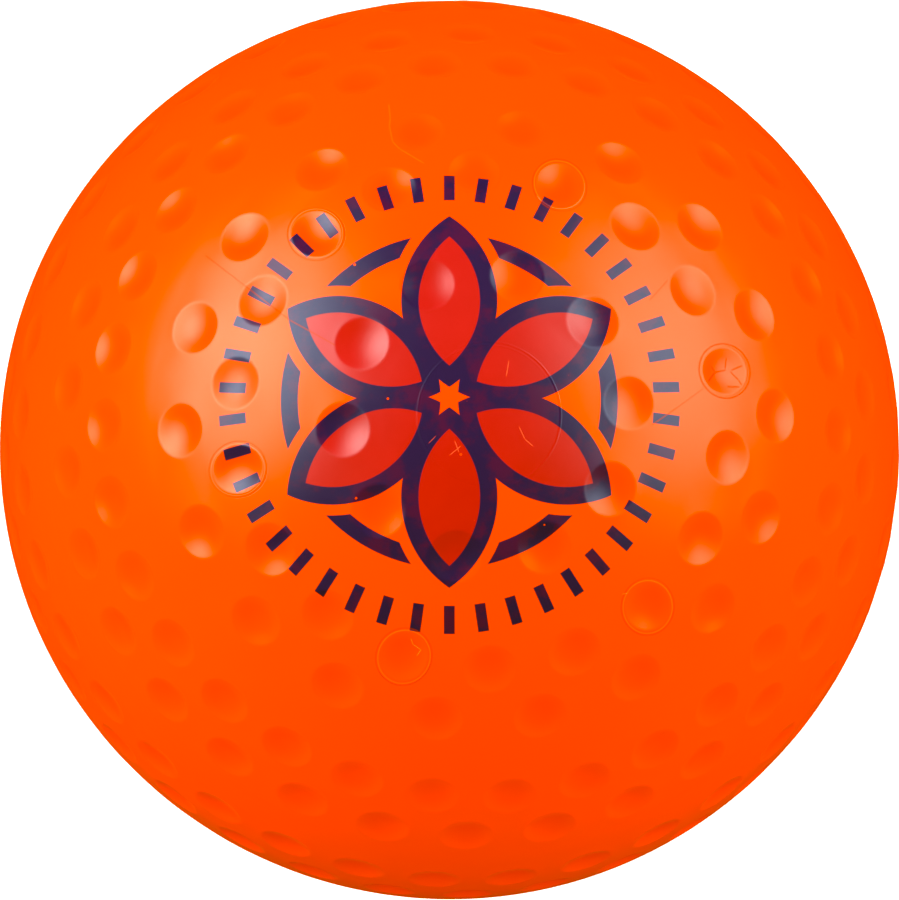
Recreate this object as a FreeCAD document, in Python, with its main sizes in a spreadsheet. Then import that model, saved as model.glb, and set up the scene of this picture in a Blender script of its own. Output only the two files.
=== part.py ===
# Field hockey ball: one solid moulding, its surface covered with shallow round dimples.
#
# Frame: origin at the ball's centre, +Z along the moulding axis through the printed pole,
# +X through the meridian of one ejector-pin dimple. The mould parts on the plane Z = 0, so
# the lower half is the mirror image of the upper half.
# Lengths are in millimetres and angles in degrees.
import FreeCAD, Part
import math
import os
import Sketcher
from FreeCAD import Placement, Rotation, Vector

NODE = "dimpled_ball"

# Driving dimensions: name, value, what it is.
SIZES = [
    ("ball_diameter", 73.0, "outer diameter over the lands between the dimples"),
    ("dimple_diameter", 4.1, "diameter of a dimple's lip"),
    ("dimple_depth", 0.42, "depth of a dimple's floor below the ball's surface"),
    ("pin_count", 6, "dimples of ring 2 that an ejector pin forms"),
    ("ring_1_latitude", 72.2, "ring next to the pole"),
    ("ring_1_count", 10, "dimples in ring 1"),
    ("ring_2_latitude", 57.8, "ring that holds the ejector-pin dimples"),
    ("ring_2_count", 18, "dimples in ring 2"),
    ("ring_3_latitude", 50.1, "partner of ring 2"),
    ("ring_3_count", 18, "dimples in ring 3"),
    ("ring_4_latitude", 37.1, "upper ring of the middle pair"),
    ("ring_4_count", 30, "dimples in ring 4"),
    ("ring_5_latitude", 28.9, "lower ring of the middle pair"),
    ("ring_5_count", 30, "dimples in ring 5"),
    ("ring_6_latitude", 15.0, "upper ring of the pair beside the parting plane"),
    ("ring_6_count", 36, "dimples in ring 6"),
    ("ring_7_latitude", 6.8, "lower ring of the pair beside the parting plane"),
    ("ring_7_count", 36, "dimples in ring 7"),
]

# How far each ring is turned about Z from the pin meridian. A ring in line with the pins
# starts on that meridian. The second ring of a pair lies in the gaps of the first, half a
# step round. Ring 1 starts midway between two pins.
IN_LINE = None
RING_TURNS = {
    "ring_1": "180 deg / Dimensions.pin_count",
    "ring_2": IN_LINE,
    "ring_3": "180 deg / Dimensions.ring_3_count",
    "ring_4": IN_LINE,
    "ring_5": "180 deg / Dimensions.ring_5_count",
    "ring_6": "180 deg / Dimensions.ring_6_count",
    "ring_7": IN_LINE,
}

# A dimple is part of a small sphere. These expressions put that sphere on the dimple's own
# radial line, so that it meets the ball's surface in the lip and reaches down to the floor.
LIP_PLANE = "sqrt((Dimensions.ball_diameter / 2) ^ 2 - (Dimensions.dimple_diameter / 2) ^ 2)"
FLOOR = "(Dimensions.ball_diameter / 2 - Dimensions.dimple_depth)"
SAG = f"({LIP_PLANE} - {FLOOR})"
DISH_RADIUS = f"(((Dimensions.dimple_diameter / 2) ^ 2 + {SAG} ^ 2) / (2 * {SAG}))"

# How a sketch constraint names its own origin, its horizontal axis, and the start, end and
# centre of an edge.
ORIGIN_POINT = (-1, 1)
HORIZONTAL_AXIS = -1
START, END, CENTRE = 1, 2, 3


def fill_sheet(doc):
    """Writes each driving dimension into a row of the sheet, with its name as the alias."""
    sheet = doc.addObject("Spreadsheet::Sheet", "Dimensions")
    for row, (name, value, note) in enumerate(SIZES, start=1):
        sheet.set(f"A{row}", name)
        sheet.set(f"B{row}", str(value))
        sheet.set(f"C{row}", note)
        sheet.setAlias(f"B{row}", name)
    doc.recompute()


def origin_feature(body, role):
    """The body's own origin plane or axis of that role."""
    return next(item for item in body.Origin.OriginFeatures if item.Role == role)


def sketch_on(body, role, name):
    """A new sketch on one of the body's own origin planes."""
    sketch = body.newObject("Sketcher::SketchObject", name)
    sketch.AttachmentSupport = [(origin_feature(body, role), "")]
    sketch.MapMode = "FlatFace"
    return sketch


def half_disc(sketch, centre, radius, middle):
    """Draws a half disc whose arc bulges towards the angle middle, closed by its diameter."""
    circle = Part.Circle(centre, Vector(0, 0, 1), radius)
    quarter_turn = math.pi / 2
    ends = middle - quarter_turn, middle + quarter_turn
    arc = sketch.addGeometry(Part.ArcOfCircle(circle, *ends))
    first, last = (centre + Vector(math.cos(end), math.sin(end), 0) * radius for end in ends)
    diameter = sketch.addGeometry(Part.LineSegment(last, first))
    sketch.addConstraint(Sketcher.Constraint("Coincident", arc, END, diameter, START))
    sketch.addConstraint(Sketcher.Constraint("Coincident", arc, START, diameter, END))
    sketch.addConstraint(Sketcher.Constraint("PointOnObject", arc, CENTRE, diameter))
    return arc, diameter


def add_dimension(sketch, constraint, name, expression):
    """Adds a dimension to the sketch and ties it to the sheet."""
    index = sketch.addConstraint(constraint)
    sketch.renameConstraint(index, name)
    sketch.setExpression(f"Constraints.{name}", expression)


def turn_half_ball(doc, body):
    """The blank of the upper half: a half disc on the parting plane, turned half way round X."""
    profile = sketch_on(body, "XY_Plane", "ball_profile")
    radius = 30
    arc, diameter = half_disc(profile, Vector(0, 0, 0), radius, math.pi / 2)
    profile.addConstraint(Sketcher.Constraint("Coincident", arc, CENTRE, *ORIGIN_POINT))
    profile.addConstraint(Sketcher.Constraint("Horizontal", diameter))
    add_dimension(
        profile, Sketcher.Constraint("Radius", arc, radius), "radius", "Dimensions.ball_diameter / 2"
    )
    half = body.newObject("PartDesign::Revolution", "half_ball")
    half.Profile = profile
    half.ReferenceAxis = (profile, ["H_Axis"])
    half.Angle = 180
    doc.recompute()
    return half


def cut_dimple(doc, body, ring, turn):
    """Cuts one dimple of a ring: a half disc, clear of the ball, turned round its diameter."""
    section = sketch_on(body, "XZ_Plane", f"{ring}_section")
    if turn is not IN_LINE:
        up_the_sketch = Vector(0, 1, 0)
        section.AttachmentOffset = Placement(Vector(0, 0, 0), Rotation(up_the_sketch, 1))
        section.setExpression("AttachmentOffset.Rotation.Angle", turn)
    latitude, radius, distance = math.radians(45), 6, 42
    centre = Vector(math.cos(latitude), math.sin(latitude), 0) * distance
    arc, diameter = half_disc(section, centre, radius, latitude)
    start, end = section.getPoint(arc, START), section.getPoint(arc, END)
    axis = section.addGeometry(Part.LineSegment(start, end), True)
    section.addConstraint(Sketcher.Constraint("Coincident", axis, START, arc, START))
    section.addConstraint(Sketcher.Constraint("Coincident", axis, END, arc, END))
    radial = section.addGeometry(Part.LineSegment(Vector(0, 0, 0), centre), True)
    section.addConstraint(Sketcher.Constraint("Coincident", radial, START, *ORIGIN_POINT))
    section.addConstraint(Sketcher.Constraint("Coincident", radial, END, arc, CENTRE))
    section.addConstraint(Sketcher.Constraint("Perpendicular", radial, diameter))
    add_dimension(
        section,
        Sketcher.Constraint("Angle", HORIZONTAL_AXIS, START, radial, START, latitude),
        "latitude",
        f"Dimensions.{ring}_latitude * 1 deg",
    )
    add_dimension(
        section,
        Sketcher.Constraint("Distance", radial, distance),
        "centre_distance",
        f"{FLOOR} + {DISH_RADIUS}",
    )
    add_dimension(
        section, Sketcher.Constraint("Radius", arc, radius), "dish_radius", DISH_RADIUS
    )
    dimple = body.newObject("PartDesign::Groove", f"{ring}_dimple")
    dimple.Profile = section
    dimple.ReferenceAxis = (section, ["Axis0"])
    dimple.Angle = 360
    dimple.Refine = False
    doc.recompute()
    return dimple


def repeat_dimple(doc, body, ring, dimple):
    """Repeats a ring's dimple evenly round Z."""
    copies = body.newObject("PartDesign::PolarPattern", f"{ring}_copies")
    copies.Originals = [dimple]
    copies.Axis = (origin_feature(body, "Z_Axis"), [""])
    copies.Angle = 360
    copies.setExpression("Occurrences", f"Dimensions.{ring}_count")
    copies.Refine = False
    body.Tip = copies
    doc.recompute()
    return copies


def mirror_half(doc, body):
    """Adds the lower half, the mirror image of the upper one across the parting plane."""
    both = body.newObject("PartDesign::Mirrored", "both_halves")
    both.TransformMode = "Whole shape"
    both.MirrorPlane = (origin_feature(body, "XY_Plane"), [""])
    both.Refine = False
    body.Tip = both
    doc.recompute()
    return both


def build():
    doc = FreeCAD.newDocument("field_hockey_ball")
    fill_sheet(doc)
    body = doc.addObject("PartDesign::Body", NODE)
    body.Label = NODE
    volume = turn_half_ball(doc, body).Shape.Volume
    print(f"blank of the upper half: {volume:.1f} mm3")
    for ring, turn in RING_TURNS.items():
        dimple = cut_dimple(doc, body, ring, turn)
        one = volume - dimple.Shape.Volume
        copies = repeat_dimple(doc, body, ring, dimple)
        removed = volume - copies.Shape.Volume
        if one <= 0 or removed <= one:
            raise RuntimeError(f"{ring} cut nothing")
        print(f"{ring}: one dimple {one:.3f} mm3, whole ring {removed:.2f} mm3")
        volume = copies.Shape.Volume
    both = mirror_half(doc, body)
    print(f"both halves: {both.Shape.Volume:.1f} mm3, twice one half: {2 * volume:.1f} mm3")
    return doc, body


def check(doc, body):
    """Stops with a message if a feature failed or the body isn't one valid solid."""
    for item in doc.Objects:
        if "Invalid" in item.State or "Error" in item.State:
            raise RuntimeError(f"{item.Label} failed: {item.State}")
    shape = body.Shape
    if shape.isNull() or not shape.isValid() or len(shape.Solids) != 1:
        raise RuntimeError(f"{body.Label} isn't one valid solid")
    print(f"{body.Label}: {shape.Volume:.1f} mm3, {len(shape.Faces)} faces")


def main():
    doc, body = build()
    check(doc, body)
    os.makedirs("parts", exist_ok=True)
    body.Shape.exportStep(f"parts/{NODE}.step")


main()
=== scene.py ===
# %% [markdown]
# A field hockey ball is one hard plastic moulding, 73 mm across, with shallow round dimples
# that keep it rolling true on a wet pitch. This lesson dresses the plain CAD ball: it models
# the moulded skin again as a smooth mesh, paints it with shader maths, and lights it like a
# small product shot. Lengths are in millimetres until a mesh or a light is finished.

import math

import bmesh
import bpy
from mathutils import Matrix, Vector


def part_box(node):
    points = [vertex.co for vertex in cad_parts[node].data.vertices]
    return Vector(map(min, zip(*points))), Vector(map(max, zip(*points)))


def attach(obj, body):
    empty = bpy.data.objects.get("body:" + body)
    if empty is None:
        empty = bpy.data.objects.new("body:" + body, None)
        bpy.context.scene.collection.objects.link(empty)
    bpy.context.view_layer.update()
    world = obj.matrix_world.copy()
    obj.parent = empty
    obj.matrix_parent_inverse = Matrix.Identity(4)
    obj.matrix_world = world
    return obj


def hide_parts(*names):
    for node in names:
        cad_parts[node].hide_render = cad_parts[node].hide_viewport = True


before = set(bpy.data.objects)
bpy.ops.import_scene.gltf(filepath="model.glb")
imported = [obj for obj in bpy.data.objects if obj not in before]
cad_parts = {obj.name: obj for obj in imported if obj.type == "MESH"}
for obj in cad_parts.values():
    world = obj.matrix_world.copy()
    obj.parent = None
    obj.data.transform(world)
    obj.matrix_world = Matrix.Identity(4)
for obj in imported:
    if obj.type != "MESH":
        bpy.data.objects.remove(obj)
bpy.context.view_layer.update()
NODE = "dimpled_ball"
BODY = "root"
MM = 0.001
low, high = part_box(NODE)
BALL_RADIUS = (high.x - low.x) / 2 / MM
print(f"ball radius {BALL_RADIUS:.2f} mm, standing at {low.z / MM:.2f} mm")

# %% [markdown]
# The camera comes first, because every mark is placed by where the photograph shows it. The
# ball's outline there gives the scale. The strength of the perspective can't be read from a
# ball alone, so a long lens 20 radii away is taken, as for product shots. Two marks fix how
# the ball is turned: the moulding pole, and one dimple of the meridian that is the X axis.

# %% Where the photograph shows the ball
PHOTO_WIDTH = 899
PHOTO_HEIGHT = 900
OUTLINE_CENTRE_PX = (449.74, 449.57)
OUTLINE_RADIUS_PX = 449.6
POLE_PX = (488.4, 414.4)
PIN_PX = (725.2, 370.9)
VIEW_DISTANCE = 20
FOCAL_PX = OUTLINE_RADIUS_PX / math.tan(math.asin(1 / VIEW_DISTANCE))


def seen_at(pixel):
    """The point of a ball of radius 1 at a pixel: right, up and towards the camera."""
    across = pixel[0] - OUTLINE_CENTRE_PX[0]
    upwards = OUTLINE_CENTRE_PX[1] - pixel[1]
    ray = Vector((across, upwards, -FOCAL_PX)).normalized()
    eye = Vector((0, 0, VIEW_DISTANCE))
    halfway = -ray.dot(eye)
    miss_squared = eye.length_squared - halfway**2
    return eye + ray * (halfway - math.sqrt(1 - miss_squared))


pole = seen_at(POLE_PX)
pin = seen_at(PIN_PX)
meridian = (pin - pole * pin.dot(pole)).normalized()
PHOTO_TO_BALL = Matrix((meridian, pole.cross(meridian), pole))
print("the camera looks from", [round(x, 3) for x in PHOTO_TO_BALL.col[2]])

# %% Camera
SENSOR = 36
NEAREST_SEEN = 0.05
lens = bpy.data.cameras.new("camera")
lens.sensor_fit = "HORIZONTAL"
lens.sensor_width = SENSOR
lens.lens = FOCAL_PX / PHOTO_WIDTH * SENSOR
lens.shift_x = (PHOTO_WIDTH / 2 - OUTLINE_CENTRE_PX[0]) / PHOTO_WIDTH
lens.shift_y = (OUTLINE_CENTRE_PX[1] - PHOTO_HEIGHT / 2) / PHOTO_WIDTH
lens.clip_start = NEAREST_SEEN
camera = bpy.data.objects.new("camera", lens)
eye_place = PHOTO_TO_BALL @ Vector((0, 0, VIEW_DISTANCE * BALL_RADIUS * MM))
camera.matrix_world = Matrix.Translation(eye_place) @ PHOTO_TO_BALL.to_4x4()
bpy.context.scene.collection.objects.link(camera)
bpy.context.scene.camera = camera
print(f"lens {lens.lens:.1f} mm, {eye_place.length:.3f} m from the ball's centre")

# %% [markdown]
# A dimple is a piece of a small sphere that meets the ball in a round lip. Cutting hundreds
# of them with booleans leaves long thin triangles, and they spoil the shine. So each dimple
# is drawn as a profile and spun round its own axis, at the top of the ball: an arc for the
# dish, an arc for the land beside it, and a small bevel that softens the lip. Every point
# keeps its bearing from the middle of the dimple, which extruding hands on to new points.

# %% Sizes of a dimple
LIP_RADIUS = 2.05
DIMPLE_DEPTH = 0.42
LIP_SOFTENING = 0.13
COLLAR_WIDTH = 0.27
AROUND = 32
DISH_STEPS = 3
LIP_STEPS = 2
floor_height = BALL_RADIUS - DIMPLE_DEPTH


def dish_of(lip_radius):
    """Radius of the small sphere behind a dimple, and the angle from its floor to its lip."""
    sag = math.sqrt(BALL_RADIUS**2 - lip_radius**2) - floor_height
    radius = (lip_radius**2 + sag**2) / (2 * sag)
    return radius, math.asin(lip_radius / radius)


dish_radius, dish_turn = dish_of(LIP_RADIUS)
print(f"dish radius {dish_radius:.2f} mm, its wall {math.degrees(dish_turn):.1f} degrees steep")

# %% Spin one dimple
CENTRE = Vector((0, 0, 0))
Y_AXIS = Vector((0, 1, 0))
Z_AXIS = Vector((0, 0, 1))
FULL_TURN = 2 * math.pi
WELD = 0.001
BEARING = "bearing"


def draw_arc(bm, start, centre, turn, steps):
    """Carries a vertex round a centre in the XZ plane and returns where it ends."""
    swept = bmesh.ops.spin(
        bm, geom=[start], cent=centre, axis=Y_AXIS, angle=turn, steps=steps
    )
    return next(item for item in swept["geom_last"] if isinstance(item, bmesh.types.BMVert))


def spin_round_z(bm, steps):
    """Turns the drawn profile full circle and closes it at the pole."""
    profile = bm.verts[:] + bm.edges[:]
    bmesh.ops.spin(
        bm, geom=profile, cent=CENTRE, axis=Z_AXIS, angle=FULL_TURN, steps=steps, use_merge=True
    )
    bmesh.ops.remove_doubles(bm, verts=bm.verts, dist=WELD)


def spin_dimple(lip_radius, softening, collar):
    """One dimple with a collar of land, at the top of the ball."""
    radius, turn = dish_of(lip_radius)
    bm = bmesh.new()
    bearing = bm.verts.layers.float.new(BEARING)
    floor = bm.verts.new((0, 0, floor_height))
    dish_centre = Vector((0, 0, floor_height + radius))
    lip = draw_arc(bm, floor, dish_centre, -turn, DISH_STEPS)
    draw_arc(bm, lip, CENTRE, collar / BALL_RADIUS, 1)
    spin_round_z(bm, AROUND)

    def on_lip(edge):
        return all(abs(vertex.co.xy.length - lip_radius) < WELD for vertex in edge.verts)

    bmesh.ops.bevel(
        bm,
        geom=[edge for edge in bm.edges if on_lip(edge)],
        offset=softening,
        affect="EDGES",
        segments=LIP_STEPS,
        profile=0.5,
        material=-1,
    )
    for vertex in bm.verts:
        vertex[bearing] = math.atan2(vertex.co.y, vertex.co.x)
    return bm


trial = spin_dimple(LIP_RADIUS, LIP_SOFTENING, COLLAR_WIDTH)
print(f"one dimple: {len(trial.faces)} faces")
trial.free()

# %% [markdown]
# Some dimples of ring 2 were formed by ejector pins. A pin slides along the mould axis, so its
# dimple and the fine ring round it are round when the ball is seen from the pole, and longer
# than they are wide on the sloping skin. The dimple is a little smaller than the others, with
# a low brim and a groove round it, both extruded from the collar, loop by loop.

# %% Ring of an ejector pin
PIN_LIP_RADIUS = 1.82
PIN_LIP_SOFTENING = 0.14
PIN_COLLAR = 0.16
PIN_RADIUS = 2.16
GROOVE_HALF_WIDTH = 0.06
GROOVE_DEPTH = 0.018
BRIM_RISE = 0.012
PIN_LOOPS = (
    # groove half widths outside the pin's radius, rise above the skin
    (-2, 0),
    (-1, BRIM_RISE),
    (0, -GROOVE_DEPTH),
    (1, 0),
    (1.8, 0),
)


def edge_loop_out(bm):
    """Extrudes the open edge of a patch once and returns the new vertices."""
    edges = [edge for edge in bm.edges if edge.is_boundary]
    grown = bmesh.ops.extrude_edge_only(bm, edges=edges)["geom"]
    return [item for item in grown if isinstance(item, bmesh.types.BMVert)]


def slant_dimple(bm, polar):
    """Stretches a dimple at the top of the ball, so that it is round from the pole later."""
    for vertex in bm.verts:
        height = vertex.co.length
        vertex.co.x /= math.cos(polar)
        vertex.co = vertex.co.normalized() * height


def add_pin_ring(bm, polar):
    """Draws a pin's brim and groove round a dimple that will lie at that polar angle."""
    bearing = bm.verts.layers.float[BEARING]
    for half_widths, rise in PIN_LOOPS:
        reach = PIN_RADIUS + half_widths * GROOVE_HALF_WIDTH
        for vertex in edge_loop_out(bm):
            x = reach * math.cos(vertex[bearing]) / math.cos(polar)
            y = reach * math.sin(vertex[bearing])
            z = math.sqrt(BALL_RADIUS**2 - x**2 - y**2)
            vertex.co = Vector((x, y, z)) * (1 + rise / BALL_RADIUS)


print(f"a pin's groove lies {PIN_RADIUS - PIN_LIP_RADIUS:.2f} mm outside its dimple's lip")

# %% [markdown]
# The dimples lie in rings round the pole. Each gets its own four-sided patch of skin, and the
# patches of a ring meet side by side. Rings that nest in pairs share an edge too: a patch has
# eight segments to a side, so half a step round still brings corner to middle point. The
# shared edge is a wave that leaves room round each dimple. One patch per ring is made and
# the spin operator repeats it.

# %% Rings of dimples
PIN_COUNT = 6
NO_TURN = 0
HALF_STEP = 0.5
FIRST_RING_COUNT = 10
BETWEEN_PINS = FIRST_RING_COUNT / (2 * PIN_COUNT)
RINGS = [
    # latitude in degrees, dimples, how many steps it is turned from the X axis
    (72.2, FIRST_RING_COUNT, BETWEEN_PINS),
    (57.8, 18, NO_TURN),
    (50.1, 18, HALF_STEP),
    (37.1, 30, NO_TURN),
    (28.9, 30, HALF_STEP),
    (15.0, 36, HALF_STEP),
    (6.8, 36, NO_TURN),
]
PIN_RING = 1
FREE_HALF_HEIGHT = math.radians(4.6)
EQUATOR_HALF_HEIGHT = math.radians(4.1)
WAVE = math.radians(0.5)

polars = [math.radians(90 - latitude) for latitude, _, _ in RINGS]
above = [FREE_HALF_HEIGHT] * len(RINGS)
below = [FREE_HALF_HEIGHT] * len(RINGS)
below[-1] = EQUATOR_HALF_HEIGHT
NESTED = {1: 2, 3: 4, 5: 6}
for upper, lower in NESTED.items():
    below[upper] = above[lower] = (polars[lower] - polars[upper]) / 2
print("patches reach down by", [round(math.degrees(reach), 2) for reach in below])

# %% Patches of skin
EIGHTH = math.pi / 4


def on_ball(polar, azimuth, radius=BALL_RADIUS):
    """The point at that angle from the pole and that angle round it."""
    across = math.sin(polar) * radius
    return Vector(
        (across * math.cos(azimuth), across * math.sin(azimuth), math.cos(polar) * radius)
    )


def square_place(bearing):
    """Where a bearing from the middle of a square meets its edge, from -1 to 1 each way."""
    side = round(bearing / (2 * EIGHTH))
    along = (bearing - side * 2 * EIGHTH) / EIGHTH
    return Vector((1, along)) @ Matrix.Rotation(side * 2 * EIGHTH, 2).transposed()


def skin_patch(ring, with_pin):
    """A dimple turned to its place on the X meridian, in a four-sided patch of land."""
    if with_pin:
        bm = spin_dimple(PIN_LIP_RADIUS, PIN_LIP_SOFTENING, PIN_COLLAR)
        slant_dimple(bm, polars[ring])
        add_pin_ring(bm, polars[ring])
    else:
        bm = spin_dimple(LIP_RADIUS, LIP_SOFTENING, COLLAR_WIDTH)
    bearing = bm.verts.layers.float[BEARING]
    tilt = Matrix.Rotation(polars[ring], 3, "Y")
    for vertex in edge_loop_out(bm):
        down, across = square_place(vertex[bearing])
        wave = WAVE * math.cos(across * math.pi)
        if down > 0:
            polar = polars[ring] + down * (below[ring] + wave * (ring in NESTED))
        else:
            polar = polars[ring] + down * (above[ring] + wave * (ring in NESTED.values()))
        place = on_ball(polar, across * math.pi / RINGS[ring][1])
        vertex.co = tilt.transposed() @ place
    bmesh.ops.rotate(bm, verts=bm.verts, cent=CENTRE, matrix=tilt)
    return bm


def lay_round(skin, patch, azimuth, count):
    """Repeats a patch round the pole and adds the copies to the skin."""
    bmesh.ops.rotate(
        patch, verts=patch.verts, cent=CENTRE, matrix=Matrix.Rotation(azimuth, 3, "Z")
    )
    bmesh.ops.spin(
        patch,
        geom=patch.verts[:] + patch.edges[:] + patch.faces[:],
        cent=CENTRE,
        axis=Z_AXIS,
        angle=FULL_TURN * (count - 1) / count,
        steps=count - 1,
        use_duplicate=True,
    )
    copies = bpy.data.meshes.new("copies")
    patch.to_mesh(copies)
    patch.free()
    skin.from_mesh(copies)
    bpy.data.meshes.remove(copies)


skin = bmesh.new()
for ring, (_, count, steps_turned) in enumerate(RINGS):
    step = FULL_TURN / count
    sets = count // PIN_COUNT if ring == PIN_RING else 1
    for place in range(sets):
        with_pin = ring == PIN_RING and place == 0
        lay_round(skin, skin_patch(ring, with_pin), (steps_turned + place) * step, count // sets)
bmesh.ops.remove_doubles(skin, verts=skin.verts, dist=WELD)
print(f"rings of the upper half: {len(skin.faces)} faces")

# %% [markdown]
# Between the pairs of rings lies plain land. The rings on either side have different numbers
# of points, so the gap is bridged, the new rungs are cut in three, and the points in between
# are pushed out onto the ball.

# %% Land between the rings
RUNG_CUTS = 2


def polar_of(point):
    return point.angle(Z_AXIS)


def bridge_gap(bm, upper, lower):
    """Bridges the open edges that lie between two polar angles."""

    def inside(edge):
        middle = (edge.verts[0].co + edge.verts[1].co) / 2
        return edge.is_boundary and upper < polar_of(middle) < lower

    rims = [edge for edge in bm.edges if inside(edge)]
    made = bmesh.ops.bridge_loops(bm, edges=rims)["faces"]
    kept = set(rims)
    rungs = {edge for face in made for edge in face.edges} - kept
    cut = bmesh.ops.subdivide_edges(bm, edges=list(rungs), cuts=RUNG_CUTS, use_grid_fill=True)
    for item in cut["geom_inner"]:
        if isinstance(item, bmesh.types.BMVert):
            item.co = item.co.normalized() * BALL_RADIUS


for upper, lower in ((0, 1), (2, 3), (4, 5)):
    bridge_gap(skin, polars[upper], polars[lower])
print(f"with the land between: {len(skin.faces)} faces")

# %% [markdown]
# Round the pole a sprue gate left two fine rings, one close inside the other. The cap is one
# profile, drawn with arcs along the skin and small steps up for the rings, and spun round Z
# with as many steps as the first ring of patches has points. Each ring is then worn down
# away from its high side, the way the gate was trimmed.

# %% Cap round the pole
INNER_GATE, OUTER_GATE = 5.44, 5.70
GATE_LINE = 0.06
GATE_CREST = 0.022
INNER_HIGH_SIDE = math.radians(150)
OUTER_HIGH_SIDE = math.radians(-5)
CAP_STEPS = 8
POINTS_TO_A_SIDE = AROUND // 4

cap = bmesh.new()
tip = cap.verts.new((0, 0, BALL_RADIUS))
inner_edge = math.asin((INNER_GATE - 2 * GATE_LINE) / BALL_RADIUS)
last = draw_arc(cap, tip, CENTRE, inner_edge, CAP_STEPS)
for reach in (
    INNER_GATE - GATE_LINE,
    INNER_GATE,
    INNER_GATE + GATE_LINE,
    OUTER_GATE - GATE_LINE,
    OUTER_GATE,
    OUTER_GATE + GATE_LINE,
    OUTER_GATE + 2 * GATE_LINE,
):
    following = cap.verts.new(on_ball(math.asin(reach / BALL_RADIUS), 0))
    cap.edges.new((last, following))
    last = following
cap_edge = polars[0] - above[0]
draw_arc(cap, last, CENTRE, cap_edge - polar_of(last.co), CAP_STEPS)
spin_round_z(cap, RINGS[0][1] * POINTS_TO_A_SIDE)
first_turn = RINGS[0][2] * FULL_TURN / RINGS[0][1]
bmesh.ops.rotate(
    cap, verts=cap.verts, cent=CENTRE, matrix=Matrix.Rotation(first_turn, 3, "Z")
)
for vertex in cap.verts:
    for gate, high_side in ((INNER_GATE, INNER_HIGH_SIDE), (OUTER_GATE, OUTER_HIGH_SIDE)):
        if abs(vertex.co.xy.length - gate) < WELD:
            azimuth = math.atan2(vertex.co.y, vertex.co.x)
            height = GATE_CREST * (1 + math.cos(azimuth - high_side)) / 2
            vertex.co *= 1 + height / BALL_RADIUS
copies = bpy.data.meshes.new("cap")
cap.to_mesh(copies)
cap.free()
skin.from_mesh(copies)
bpy.data.meshes.remove(copies)
bmesh.ops.remove_doubles(skin, verts=skin.verts, dist=WELD)
print(f"with the cap: {len(skin.faces)} faces")

# %% [markdown]
# The two halves of the mould met at the equator, and a trimmed, hardly raised line is left
# there. The open edge of the last ring is extruded down to it, and the lower half is the
# mirror image of the upper one. Mirroring turns faces inside out, so the normals are
# worked out again once the halves are welded.

# %% Equator and lower half
PARTING_WIDTH = 0.35
PARTING_RISE = 0.02
PARTING_TOP = 0.6
parting_turn = PARTING_WIDTH / 2 / BALL_RADIUS
equator = math.pi / 2
last_edge = polars[-1] + below[-1]
halfway = (last_edge + equator - parting_turn) / 2
for polar, rise in (
    (halfway, 0),
    (equator - parting_turn, 0),
    (equator - parting_turn * PARTING_TOP, PARTING_RISE),
    (equator, PARTING_RISE),
):
    for vertex in edge_loop_out(skin):
        azimuth = math.atan2(vertex.co.y, vertex.co.x)
        vertex.co = on_ball(polar, azimuth, BALL_RADIUS + rise)
bmesh.ops.mirror(
    skin,
    geom=skin.verts[:] + skin.edges[:] + skin.faces[:],
    matrix=Matrix.Identity(4),
    merge_dist=WELD,
    axis="Z",
)
bmesh.ops.remove_doubles(skin, verts=skin.verts, dist=WELD)
bmesh.ops.recalc_face_normals(skin, faces=skin.faces)
bmesh.ops.scale(skin, vec=(MM, MM, MM), verts=skin.verts)
open_edges = sum(1 for edge in skin.edges if not edge.is_manifold)
triangles = sum(len(face.verts) - 2 for face in skin.faces)
print(f"whole skin: {triangles} triangles, {open_edges} open edges")

# %% Make the ball an object
ball_mesh = bpy.data.meshes.new("ball_cover")
skin.to_mesh(ball_mesh)
skin.free()
ball_mesh.shade_smooth()
ball = bpy.data.objects.new("ball_cover", ball_mesh)
bpy.context.scene.collection.objects.link(ball)
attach(ball, BODY)
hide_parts(NODE)
print("ball cover:", [round(side, 4) for side in ball.dimensions])

# %% [markdown]
# Shader maths reads best as ordinary arithmetic. A Reading is a number that changes over the
# surface: it wraps a node's output, and each operator on it adds one Math node. A Shader
# wraps the node tree of a material, a lamp or the room, and all nodes come from one method.

# %% Shader maths as expressions


class Reading:
    """A number that changes over a surface."""

    def __init__(self, shader, socket):
        self.shader = shader
        self.socket = socket

    def __add__(self, other):
        return self.shader.maths("ADD", self, other)

    __radd__ = __add__

    def __sub__(self, other):
        return self.shader.maths("SUBTRACT", self, other)

    def __rsub__(self, other):
        return self.shader.maths("SUBTRACT", other, self)

    def __mul__(self, other):
        return self.shader.maths("MULTIPLY", self, other)

    __rmul__ = __mul__

    def __truediv__(self, other):
        return self.shader.maths("DIVIDE", self, other)

    def __abs__(self):
        return self.shader.maths("ABSOLUTE", self)


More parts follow.
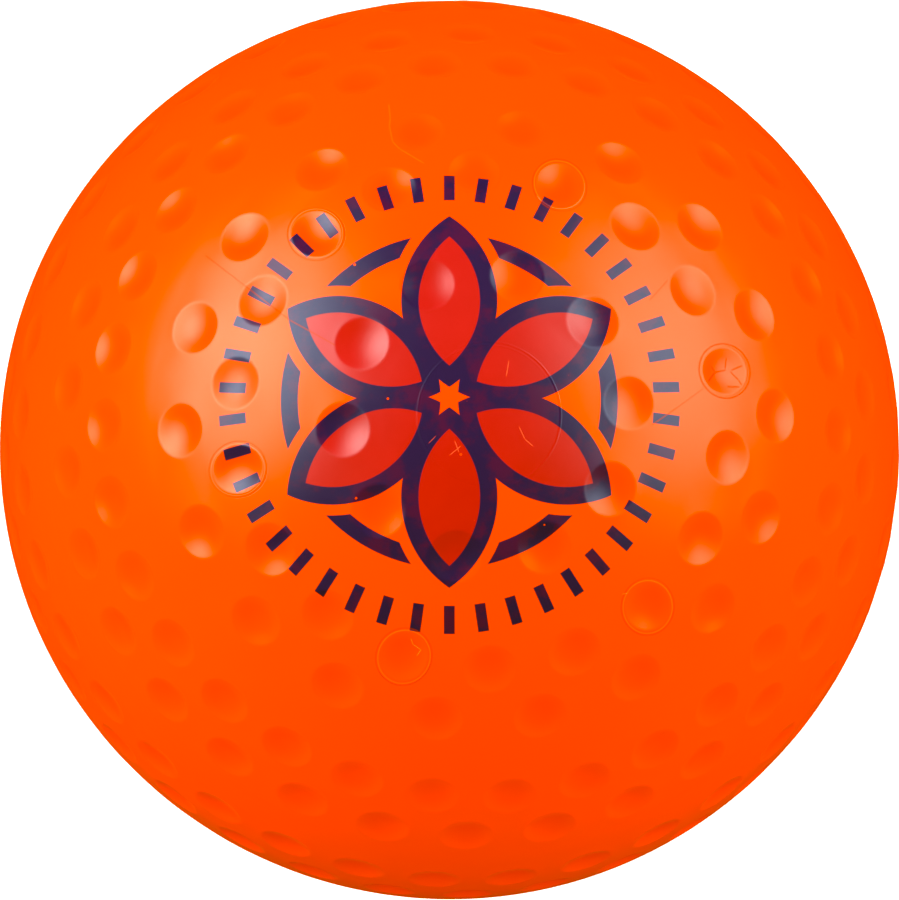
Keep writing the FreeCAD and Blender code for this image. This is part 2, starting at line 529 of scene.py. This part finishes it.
class Shader:
    """The node tree of a material, a lamp or the room."""

    def __init__(self, owner):
        owner.use_nodes = True
        self.tree = owner.node_tree
        self.tree.nodes.clear()

    def node(self, kind, settings=None, sockets=None):
        """Adds a node, sets its settings, and then fills or links its sockets."""
        made = self.tree.nodes.new(kind)
        for name, value in (settings or {}).items():
            setattr(made, name, value)
        for name, value in (sockets or {}).items():
            if isinstance(value, Reading):
                value = value.socket
            if isinstance(value, bpy.types.NodeSocket):
                self.tree.links.new(value, made.inputs[name])
            else:
                made.inputs[name].default_value = value
        return made

    def maths(self, operation, *values):
        """One Math node as a Reading."""
        sockets = dict(enumerate(values))
        made = self.node("ShaderNodeMath", {"operation": operation}, sockets)
        return Reading(self, made.outputs[0])

    def below(self, reading, limit, softness):
        """1 where a reading is under a limit, 0 over it, with an edge of that softness."""
        made = self.node(
            "ShaderNodeMapRange",
            {"interpolation_type": "SMOOTHSTEP"},
            {
                "Value": reading,
                "From Min": limit - softness / 2,
                "From Max": limit + softness / 2,
                "To Min": 1.0,
                "To Max": 0.0,
            },
        )
        return Reading(self, made.outputs[0])

    def along(self, vector, direction):
        """How far a vector reaches along a direction."""
        made = self.node(
            "ShaderNodeVectorMath",
            {"operation": "DOT_PRODUCT"},
            {0: vector, 1: tuple(direction)},
        )
        return Reading(self, made.outputs["Value"])

    def blend(self, share, first, second):
        """The first colour, turning to the second as the share goes from 0 to 1."""
        made = self.node(
            "ShaderNodeMix", {"data_type": "RGBA"}, {0: share, 6: first, 7: second}
        )
        return made.outputs[2]

    def noise(self, vector, scale, detail=2.0, roughness=0.5):
        """Soft random mottling, about 0.5 on average."""
        made = self.node(
            "ShaderNodeTexNoise",
            sockets={"Vector": vector, "Scale": scale, "Detail": detail, "Roughness": roughness},
        )
        return Reading(self, made.outputs[0])


print("shader maths is ready")

# %% [markdown]
# The print is a rosette in two inks: six red petals, each edged in navy, navy arcs between
# their tips, and a ring of short navy dashes outside. It is pressed on by a pad, straight down
# onto the ball, so it is drawn flat in the plane of the pad, and dimples carry it down into
# their dishes. A fold of the angle makes one petal stand for all six.

# %% Where the print is
PRINT_PX = (449.5, 397.0)
print_axis = PHOTO_TO_BALL @ seen_at(PRINT_PX)
photo_up = PHOTO_TO_BALL @ Vector((0, 1, 0))
print_up = (photo_up - print_axis * photo_up.dot(print_axis)).normalized()
print_right = print_up.cross(print_axis)
print("print axis", [round(x, 3) for x in print_axis])

# %% Sizes of the print
PETALS = 6
PETAL_START = 1.6
PETAL_END = 13.7
PETAL_HALF_WIDTH = 3.05
INK_LINE = 1.35
ARC_RADIUS = 12.4
ARC_GAP = 0.8
DASHES = 42
DASH_RADIUS = 16.9
DASH_LENGTH = 2.1
DASH_WIDTH = 0.85
INK_EDGE = 0.09

petal_middle = (PETAL_START + PETAL_END) / 2
petal_half_length = (PETAL_END - PETAL_START) / 2
petal_arc = (petal_half_length**2 + PETAL_HALF_WIDTH**2) / (2 * PETAL_HALF_WIDTH)
petal_arc_offset = petal_arc - PETAL_HALF_WIDTH
rosette_width = 2 * DASH_RADIUS + DASH_LENGTH
print(f"rosette {rosette_width:.1f} mm across, its petals' edges of radius {petal_arc:.2f} mm")


def folded(shader, angle, count, phase):
    """The angle from the nearest of the axes that divide the turn evenly."""
    step = FULL_TURN / count
    turned = shader.maths("WRAP", angle + phase * step, step / 2, -step / 2)
    return abs(turned)


def rosette(shader, place):
    """Shares of red and navy ink at a place, in millimetres."""
    x = shader.along(place, print_right)
    y = shader.along(place, print_up)
    front = shader.maths("GREATER_THAN", shader.along(place, print_axis), 0.0)
    reach = shader.maths("SQRT", x * x + y * y)
    angle = shader.maths("ARCTAN2", y, x)

    off_petal = folded(shader, angle, PETALS, 0.5)
    u = reach * shader.maths("COSINE", off_petal)
    v = reach * shader.maths("SINE", off_petal)
    du = u - petal_middle
    dv = v + petal_arc_offset
    petal = shader.maths("SQRT", du * du + dv * dv) - petal_arc
    red = shader.below(petal, 0.0, INK_EDGE)
    outline = shader.below(abs(petal), INK_LINE / 2, INK_EDGE)

    on_arc = shader.below(abs(reach - ARC_RADIUS), INK_LINE / 2, INK_EDGE)
    clear = 1 - shader.below(petal, INK_LINE / 2 + ARC_GAP, INK_EDGE)

    off_dash = folded(shader, angle, DASHES, 0.5)
    across_dash = reach * shader.maths("SINE", off_dash)
    dash = shader.below(across_dash, DASH_WIDTH / 2, INK_EDGE)
    dash = dash * shader.below(abs(reach - DASH_RADIUS), DASH_LENGTH / 2, INK_EDGE)

    navy = shader.maths("MAXIMUM", outline, on_arc * clear)
    navy = shader.maths("MAXIMUM", navy, dash)
    return red * front, navy * front


# %% [markdown]
# Small marks make it a used moulding: faint knit lines where the plastic met in the mould, hair
# cracks in the dimple of one ejector pin, pale scratches round the gate and the pins, and a wavy
# flow line. Each is made of short pieces of great circles between two pixels of the photograph.
# Round each pin a dark line of painted shade lies in the groove, with a pale line of painted
# highlight on the brim inside it. This rim is a circle when seen from the pole, so one sector of
# the ball stands for all six.

# %% Fine lines on the skin
KNIT_LINES = (
    ((205, 255), (290, 320)),
    ((290, 320), (335, 345)),
    ((668, 280), (650, 300)),
    ((652, 425), (703, 389)),
)
PIN_CRACKS = (
    ((718, 371.5), (729, 369)),
    ((718, 371.5), (714, 366)),
    ((718, 371.5), (709.5, 381)),
    ((734, 369.5), (743, 365.5)),
    ((728.5, 368), (728.5, 357.5)),
    ((733.5, 371), (740, 379.5)),
    ((740, 379.5), (742, 385)),
    ((729.5, 386.3), (740, 386.8)),
)
SCRATCHES = (
    ((509, 361), (506.5, 376)),
    ((519.5, 427), (525, 439)),
    ((525, 439), (533, 446)),
    ((429, 443), (436, 436)),
    ((455, 441), (459, 452)),
    ((450, 455), (461, 446)),
    ((411, 640), (413, 646)),
    ((413, 646), (421, 651)),
    ((421, 651), (417, 657)),
    ((623, 594), (628, 593)),
    ((537, 196), (541, 201)),
)
FLOW_LINE = (
    ((389, 104), (390.5, 118)),
    ((390.5, 118), (389.5, 126)),
    ((389.5, 126), (393, 142)),
    ((393, 142), (400, 149)),
    ((400, 149), (412, 156)),
    ((412, 156), (424, 163)),
)
KNIT_WIDTH = 0.06
CRACK_WIDTH = 0.07
SCRATCH_WIDTH = 0.035
FLOW_WIDTH = 0.06
LINE_TAPER = 0.3
RIM_WIDTH = 0.06
RIM_GAP = 0.15
# Strengths of the painted shade in the pins' grooves.
GROOVE_SHADE_SHARE = 0.4
CRACKED_GROOVE_SHADE_SHARE = 0.8
SECTOR_EDGE = 0.01


def fine_lines(shader, place, lines, half_width):
    """The share of a set of fine lines at a place."""
    share = 0.0
    for start_px, end_px in lines:
        start = PHOTO_TO_BALL @ seen_at(start_px)
        end = PHOTO_TO_BALL @ seen_at(end_px)
        off_line = abs(shader.along(place, start.cross(end).normalized()))
        middle = (start + end).normalized() * BALL_RADIUS
        from_middle = shader.node(
            "ShaderNodeVectorMath", {"operation": "DISTANCE"}, {0: place, 1: middle}
        )
        half_length = (end - start).length * BALL_RADIUS / 2
        off_middle = Reading(shader, from_middle.outputs["Value"])
        near = shader.below(off_middle, half_length, LINE_TAPER)
        line = near * shader.below(off_line, half_width, half_width)
        share = shader.maths("MAXIMUM", share, line)
    return share


def pin_groove_shade_and_brim_highlight(shader, place):
    """Shares of painted shade in the pins' grooves, strongest round the cracked one, and of
    painted highlight on their brims.
    """
    x = shader.along(place, (1, 0, 0))
    y = shader.along(place, (0, 1, 0))
    upper = shader.maths("GREATER_THAN", shader.along(place, (0, 0, 1)), 0.0)
    from_axis = shader.maths("SQRT", x * x + y * y)
    azimuth = shader.maths("ARCTAN2", y, x)
    off_pin = folded(shader, azimuth, PIN_COUNT, 0)
    dx = from_axis * shader.maths("COSINE", off_pin) - on_ball(polars[PIN_RING], 0).x
    dy = from_axis * shader.maths("SINE", off_pin)
    off_rim = shader.maths("SQRT", dx * dx + dy * dy) - PIN_RADIUS
    cracked = shader.below(abs(azimuth), math.pi / PIN_COUNT, SECTOR_EDGE) * upper
    groove_shade_strength = GROOVE_SHADE_SHARE + (CRACKED_GROOVE_SHADE_SHARE - GROOVE_SHADE_SHARE) * cracked
    # Painted shade along the groove, and a painted highlight along the brim inside it.
    shade_in_groove = shader.below(abs(off_rim), RIM_WIDTH, RIM_WIDTH) * groove_shade_strength
    highlight_on_brim = shader.below(abs(off_rim + RIM_GAP), SCRATCH_WIDTH, RIM_WIDTH) * (1 - cracked)
    return shade_in_groove, highlight_on_brim


line_count = sum(len(lines) for lines in (KNIT_LINES, PIN_CRACKS, SCRATCHES, FLOW_LINE))
print(f"{line_count} short lines, and the rims of {PIN_COUNT} pins on each half")

# %% [markdown]
# The skin is satin plastic in a strong orange. Its gloss is a little rough, so that the studio
# boxes show as soft sheens, and a fine grain breaks them up. On the orange the gloss is warmer
# than on ink, so each layer of the finish has its own specular tint. A faint bloom lies over
# all of it, as fine dust on plastic does, and pales the ball's outline.

# %% Layers of the finish
WARM_GLOSS = (1.0, 0.87, 0.62, 1)
PINK_GLOSS = (1.0, 0.84, 0.80, 1)
COOL_GLOSS = (0.62, 0.80, 1.0, 1)
DULL_GLOSS = (0.6, 0.32, 0.10, 1)
SKIN_ROUGHNESS = 0.28
GLOSS_LEVEL = 0.43
BLOOM = 0.05
BLOOM_ROUGHNESS = 0.3
BLOOM_COLOUR = (1.0, 0.9, 0.6, 1)
NOISE_DETAIL = 3.0
GRAIN_SCALE = 2.5
GRAIN_STRENGTH = 0.06
GRAIN_HEIGHT = 0.05 * MM

satin_plastic = bpy.data.materials.new("satin_orange_plastic")
cover = Shader(satin_plastic)
coordinates = cover.node("ShaderNodeTexCoord").outputs["Object"]
place = cover.node(
    "ShaderNodeVectorMath", {"operation": "SCALE"}, {0: coordinates, "Scale": 1 / MM}
).outputs["Vector"]
grain = cover.noise(place, GRAIN_SCALE, NOISE_DETAIL)
bump = cover.node(
    "ShaderNodeBump",
    sockets={"Strength": GRAIN_STRENGTH, "Distance": GRAIN_HEIGHT, "Height": grain},
)


def satin(colour, gloss_tint):
    """One layer of the finish."""
    layer = cover.node(
        "ShaderNodeBsdfPrincipled",
        sockets={
            "Base Color": colour,
            "Roughness": SKIN_ROUGHNESS,
            "Specular IOR Level": GLOSS_LEVEL,
            "Specular Tint": gloss_tint,
            "Sheen Weight": BLOOM,
            "Sheen Roughness": BLOOM_ROUGHNESS,
            "Sheen Tint": BLOOM_COLOUR,
            "Normal": bump.outputs[0],
        },
    )
    return layer.outputs[0]


print(f"satin layers of roughness {SKIN_ROUGHNESS}, with a bloom of {BLOOM}")

# %% [markdown]
# The orange is mottled a little, as pigment in plastic is. The floors of the dimples are painted
# a touch darker and redder, as painted shade and orange light bounced about in those hollows.
# The depth below the ball's surface tells where those are. Scratches scatter light, so they are
# paler than the skin; the same pale tone also paints a highlight on the brim of each pin. All
# fine lines are measured on the ball's round surface, and a dimple carries them straight down to
# its floor.

# %% Colour of the skin
ORANGE = (0.95, 0.050, 0.0006, 1)
ORANGE_DEEP = (0.95, 0.046, 0.0005, 1)
# Painted shade for the floors of the dimples: darker and redder than the skin.
DIMPLE_FLOOR_SHADE = (0.93, 0.0405, 0.0004, 1)
# Pale tone of the scratches, also used as a painted highlight on the pins' brims.
SCRATCH_AND_BRIM_HIGHLIGHT_TONE = (1.0, 0.25, 0.13, 1)
MOTTLE_SCALE = 0.12
FLOOR_SOFTNESS = 0.8
KNIT_SHARE = 0.45
CRACK_SHARE = 0.8
SCRATCH_SHARE = 0.5
FLOW_SHARE = 0.12
# Strength of the painted highlight on the pins' brims.
BRIM_HIGHLIGHT_SHARE = 0.24

outwards = cover.node("ShaderNodeVectorMath", {"operation": "NORMALIZE"}, {0: place})
on_skin = cover.node(
    "ShaderNodeVectorMath",
    {"operation": "SCALE"},
    {0: outwards.outputs["Vector"], "Scale": BALL_RADIUS},
).outputs["Vector"]
mottle = cover.noise(place, MOTTLE_SCALE, NOISE_DETAIL)
skin_colour = cover.blend(mottle, ORANGE, ORANGE_DEEP)
height = cover.node("ShaderNodeVectorMath", {"operation": "LENGTH"}, {0: place})
depth = BALL_RADIUS - Reading(cover, height.outputs["Value"])
# Painted shade: the floors of the dimples turn darker and redder, for the shade and bounced
# orange light in those hollows.
dimple_floor_shade = 1 - cover.below(depth, DIMPLE_DEPTH / 2, DIMPLE_DEPTH * FLOOR_SOFTNESS)
skin_colour = cover.blend(dimple_floor_shade, skin_colour, DIMPLE_FLOOR_SHADE)
# Painted shade in each pin's groove and a painted highlight on its brim.
groove_shade, brim_highlight = pin_groove_shade_and_brim_highlight(cover, place)

cracks_and_groove_shade = fine_lines(cover, on_skin, PIN_CRACKS, CRACK_WIDTH) * CRACK_SHARE
knit = fine_lines(cover, on_skin, KNIT_LINES, KNIT_WIDTH) * KNIT_SHARE
cracks_and_groove_shade = cover.maths("MAXIMUM", cracks_and_groove_shade, knit)
# The painted shade of the pins' grooves joins the dark cracks and knit lines.
cracks_and_groove_shade = cover.maths("MAXIMUM", cracks_and_groove_shade, groove_shade)

scratches_and_brim_highlight = fine_lines(cover, on_skin, SCRATCHES, SCRATCH_WIDTH) * SCRATCH_SHARE
flow = fine_lines(cover, on_skin, FLOW_LINE, FLOW_WIDTH) * FLOW_SHARE
scratches_and_brim_highlight = cover.maths("MAXIMUM", scratches_and_brim_highlight, flow)
# The painted highlight of the pins' brims joins the pale scratches.
scratches_and_brim_highlight = cover.maths("MAXIMUM", scratches_and_brim_highlight, brim_highlight * BRIM_HIGHLIGHT_SHARE)
skin_colour = cover.blend(scratches_and_brim_highlight, skin_colour, SCRATCH_AND_BRIM_HIGHLIGHT_TONE)
print("nodes for the colour of the skin:", len(cover.tree.nodes))

# %% [markdown]
# The inks lie in a thin film on the plastic. Noise stands for how thick the film is: where it is
# thin, red is brighter and navy goes purple. A few pinholes, the scratches and the painted
# highlight on the pins' brims go through it to the orange. Cracks and knit lines hardly shine,
# and the painted shade in the pins' grooves is drawn with them, so they get a duller layer of
# their own, on top of the inks, and show in the sheens too.

# %% Inks and dark lines
# Tone of the cracks and knit lines, also used as painted shade in the pins' grooves.
CRACK_AND_GROOVE_SHADE_TONE = (0.40, 0.020, 0.0004, 1)
RED_INK = (0.36, 0.005, 0.024, 1)
RED_INK_THIN = (0.43, 0.009, 0.028, 1)
NAVY_INK = (0.018, 0.005, 0.061, 1)
NAVY_INK_THIN = (0.050, 0.003, 0.053, 1)
FILM_SCALE = 0.35
FILM_DETAIL = 4.0
FILM_NOISE_ROUGHNESS = 0.65
THIN_FILM = 0.53
THIN_SOFTNESS = 0.16
SPECK_SCALE = 0.55
PINHOLE_RADIUS = 0.055
PINHOLE_EDGE = 0.03
PATCH_SCALE = 0.8
PATCH_SHARE = 0.46
PATCH_EDGE = 0.02

red, navy = rosette(cover, place)
film = cover.noise(place, FILM_SCALE, FILM_DETAIL, FILM_NOISE_ROUGHNESS)
thin = 1 - cover.below(film, THIN_FILM, THIN_SOFTNESS)
red_colour = cover.blend(film, RED_INK, RED_INK_THIN)
navy_colour = cover.blend(thin, NAVY_INK, NAVY_INK_THIN)
specks = cover.node(
    "ShaderNodeTexVoronoi", sockets={"Vector": place, "Scale": SPECK_SCALE, "Randomness": 1.0}
)
off_speck = Reading(cover, specks.outputs["Distance"])
pinhole = cover.below(off_speck, PINHOLE_RADIUS, PINHOLE_EDGE)
pinhole = pinhole * cover.below(cover.noise(place, PATCH_SCALE), PATCH_SHARE, PATCH_EDGE)
whole_film = (1 - pinhole) * (1 - scratches_and_brim_highlight)
finish = satin(skin_colour, WARM_GLOSS)
# The last layer holds the cracks and knit lines with the painted shade of the pins' grooves.
for share, colour, gloss_tint in (
    (red * whole_film, red_colour, PINK_GLOSS),
    (navy * whole_film, navy_colour, COOL_GLOSS),
    (cracks_and_groove_shade, CRACK_AND_GROOVE_SHADE_TONE, DULL_GLOSS),
):
    finish = cover.node(
        "ShaderNodeMixShader", sockets={0: share, 1: finish, 2: satin(colour, gloss_tint)}
    ).outputs[0]
cover.node("ShaderNodeOutputMaterial", sockets={"Surface": finish})
ball_mesh.materials.append(satin_plastic)
print("nodes in the whole finish:", len(cover.tree.nodes))

# %% [markdown]
# Two large soft boxes stand left and right above the ball, and their sheens are what shows
# its form in the photograph. The sheens are bright in the middle and fade out, as a soft box
# does that has one lamp behind its cloth, so each lamp's strength falls off from its centre.
# A box is placed in the photo's own axes, by the direction in which the ball mirrors it.

# %% Soft boxes
BOX_DISTANCE = 0.6
LAMP_COLOUR = (1.0, 0.96, 0.93)
LAMP_MIDDLE = (0.5, 0.5, 0)
HALF_STRENGTH_AT = 0.25
FALLOFF_WIDTH = 0.5


def mirrored_at(pixel):
    """The direction of what the ball mirrors towards the camera at a pixel."""
    normal = seen_at(pixel)
    to_camera = (Vector((0, 0, VIEW_DISTANCE)) - normal).normalized()
    return 2 * normal.dot(to_camera) * normal - to_camera


def soft_box(name, sheen_px, wide, tall, brightness):
    """An oval lamp, so many degrees wide and tall as the ball sees it, mirrored at a pixel."""
    towards = (PHOTO_TO_BALL @ mirrored_at(sheen_px)).normalized()
    upright = PHOTO_TO_BALL @ Vector((0, 1, 0))
    across = upright.cross(towards).normalized()
    light = bpy.data.lights.new(name, "AREA")
    light.shape = "ELLIPSE"
    light.size = 2 * BOX_DISTANCE * math.tan(math.radians(wide / 2))
    light.size_y = 2 * BOX_DISTANCE * math.tan(math.radians(tall / 2))
    area = math.pi / 4 * light.size * light.size_y
    light.energy = brightness * math.pi * area
    light.color = LAMP_COLOUR
    glow = Shader(light)
    spot = glow.node("ShaderNodeNewGeometry").outputs["Parametric"]
    off_middle = glow.node(
        "ShaderNodeVectorMath", {"operation": "DISTANCE"}, {0: spot, 1: LAMP_MIDDLE}
    )
    off_middle = Reading(glow, off_middle.outputs["Value"])
    falloff = glow.below(off_middle, HALF_STRENGTH_AT, FALLOFF_WIDTH)
    emission = glow.node("ShaderNodeEmission", sockets={"Strength": falloff})
    glow.node("ShaderNodeOutputLight", sockets={"Surface": emission.outputs[0]})
    lamp = bpy.data.objects.new(name, light)
    facing = Matrix((across, towards.cross(across), towards)).transposed().to_4x4()
    lamp.matrix_world = Matrix.Translation(towards * BOX_DISTANCE) @ facing
    lamp.visible_camera = False
    bpy.context.scene.collection.objects.link(lamp)
    print(f"{name}: {light.size:.2f} x {light.size_y:.2f} m, {light.energy:.1f} W")


soft_box("left_soft_box", sheen_px=(254, 350), wide=67, tall=78, brightness=11.6)
soft_box("right_soft_box", sheen_px=(662, 356), wide=72, tall=88, brightness=7.2)

# %% [markdown]
# The rest of the light comes from the room. As seen in the photograph, it is brighter to the
# sides, towards the bottom and behind the ball, and warmer at the bottom, where the ball's
# own orange comes back from the paper. It fills the rim of the ball, which the soft boxes
# miss. The ball doesn't mirror the room: only the two boxes show in its gloss.

# %% Room light
ROOM_COLOUR = (1.0, 0.94, 0.6, 1)
LOW_COLOUR = (0.94, 0.62, 0.42, 1)
ROOM_LIGHT = 0.05
SIDE_LIGHT = 0.8
LOW_LIGHT = 0.94
BACK_LIGHT = 1.1
world = bpy.data.worlds.new("studio")
room = Shader(world)
direction = room.node("ShaderNodeTexCoord").outputs["Generated"]
sideways = abs(room.along(direction, PHOTO_TO_BALL.col[0]))
downwards = room.maths("MAXIMUM", room.along(direction, -PHOTO_TO_BALL.col[1]), 0.0)
backwards = room.maths("MAXIMUM", room.along(direction, -PHOTO_TO_BALL.col[2]), 0.0)
strength = ROOM_LIGHT + SIDE_LIGHT * sideways + LOW_LIGHT * downwards
strength = strength + BACK_LIGHT * backwards
tint = room.blend(downwards, ROOM_COLOUR, LOW_COLOUR)
background = room.node("ShaderNodeBackground", sockets={"Color": tint, "Strength": strength})
room.node("ShaderNodeOutputWorld", sockets={"Surface": background.outputs[0]})
bpy.context.scene.world = world
world.cycles_visibility.glossy = False
print("nodes in the room:", len(room.tree.nodes))

# %% [markdown]
# The photograph's orange holds almost no blue. A pigment so pure would still get a little blue
# from its gloss, so the picture is graded as a photographer would do it: the curve's black
# level takes a small, even part off the blue, and leaves red, green and white as they are.

# %% Grade of the picture
BLUE_FLOOR = 0.042
grade = bpy.context.scene.view_settings
grade.view_transform = "Standard"
grade.use_curve_mapping = True
grade.curve_mapping.black_level = (0, 0, BLUE_FLOOR)
grade.curve_mapping.update()
print("black level of the grade:", [round(x, 3) for x in grade.curve_mapping.black_level])

# %% [markdown]
# The ball rests on pale paper that glows a little, so that it comes out white all over. The
# paper is for the camera alone: it adds no light to the ball, and the ball doesn't mirror it.

# %% Floor
FLOOR_SIZE = 6
FLOOR_GAP = 0.0001
PAPER_WHITE = (0.9, 0.9, 0.9, 1)
PAPER_ROUGHNESS = 0.8
PAPER_GLOW = 0.5
plane = bmesh.new()
bmesh.ops.create_grid(plane, x_segments=1, y_segments=1, size=FLOOR_SIZE / 2)
bmesh.ops.translate(plane, vec=(0, 0, low.z - FLOOR_GAP), verts=plane.verts)
floor_mesh = bpy.data.meshes.new("floor")
plane.to_mesh(floor_mesh)
plane.free()
pale_paper = bpy.data.materials.new("pale_paper")
paper = Shader(pale_paper)
paper_shader = paper.node(
    "ShaderNodeBsdfPrincipled",
    sockets={
        "Base Color": PAPER_WHITE,
        "Roughness": PAPER_ROUGHNESS,
        "Emission Color": (1, 1, 1, 1),
        "Emission Strength": PAPER_GLOW,
    },
)
paper.node("ShaderNodeOutputMaterial", sockets={"Surface": paper_shader.outputs[0]})
floor_mesh.materials.append(pale_paper)
floor = bpy.data.objects.new("floor", floor_mesh)
floor.visible_glossy = False
floor.visible_diffuse = False
bpy.context.scene.collection.objects.link(floor)
print(f"floor {FLOOR_SIZE} m square, {FLOOR_GAP / MM:.1f} mm under the ball")
